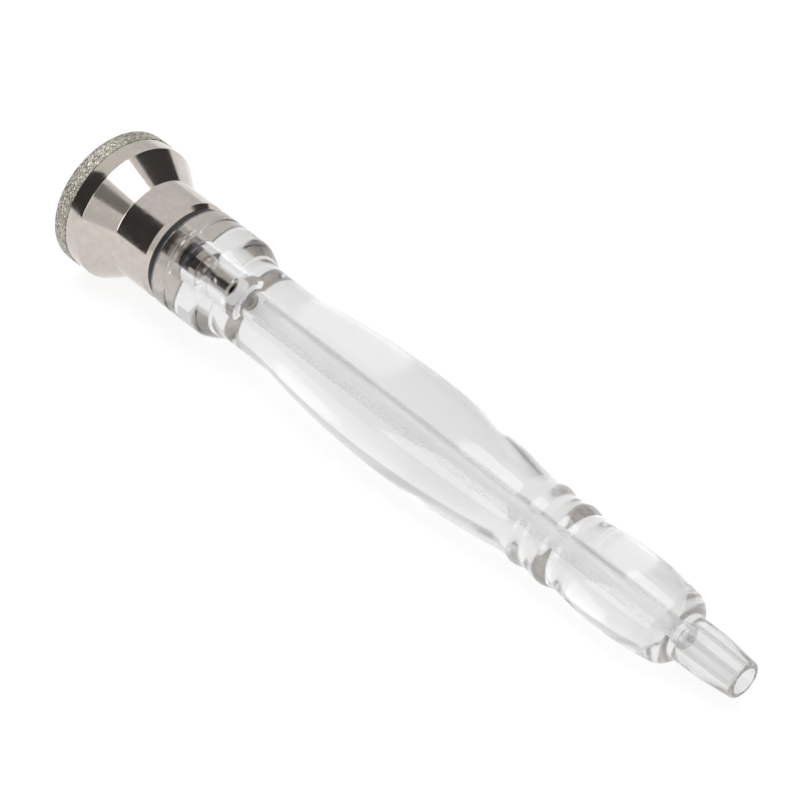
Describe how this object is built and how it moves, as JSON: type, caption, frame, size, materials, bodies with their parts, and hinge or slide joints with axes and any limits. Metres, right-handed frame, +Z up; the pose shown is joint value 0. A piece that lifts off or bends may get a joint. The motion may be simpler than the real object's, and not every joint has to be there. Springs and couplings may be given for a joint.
{
  "type": "suction wand",
  "caption": "Clear turned suction wand with finger beads and a hose nozzle; its plated push-in tip has a grit-coated rim, a suction cup and a hollow stem.",
  "frame": {"origin": "on the wand's axis, at the end face of the hose nozzle", "axes": "+X along the axis from the tip towards the hose nozzle, +Z up"},
  "size_m": [0.1274, 0.022, 0.022],
  "materials": {
    "acrylic": "clear, polished",
    "nickel_plate": "polished",
    "bonded_grit": "coarse, sparkling",
    "rubber": "satin"
  },
  "bodies": {
    "handle": {"handle": "acrylic"},
    "seals": {"collar_seal": "rubber", "stem_seal": "rubber"},
    "tip": {"tip_head": "nickel_plate", "grit_rim": "bonded_grit"}
  },
  "joints": [
    {"name": "tip_pull", "type": "slide", "parent": "handle", "child": "seals", "axis": [-1, 0, 0], "range_m": [0, 0.014]},
    {"name": "tip_turn", "type": "hinge", "parent": "seals", "child": "tip", "pos_m": [-0.1088, 0, 0], "axis": [-1, 0, 0], "continuous": true}
  ]
}
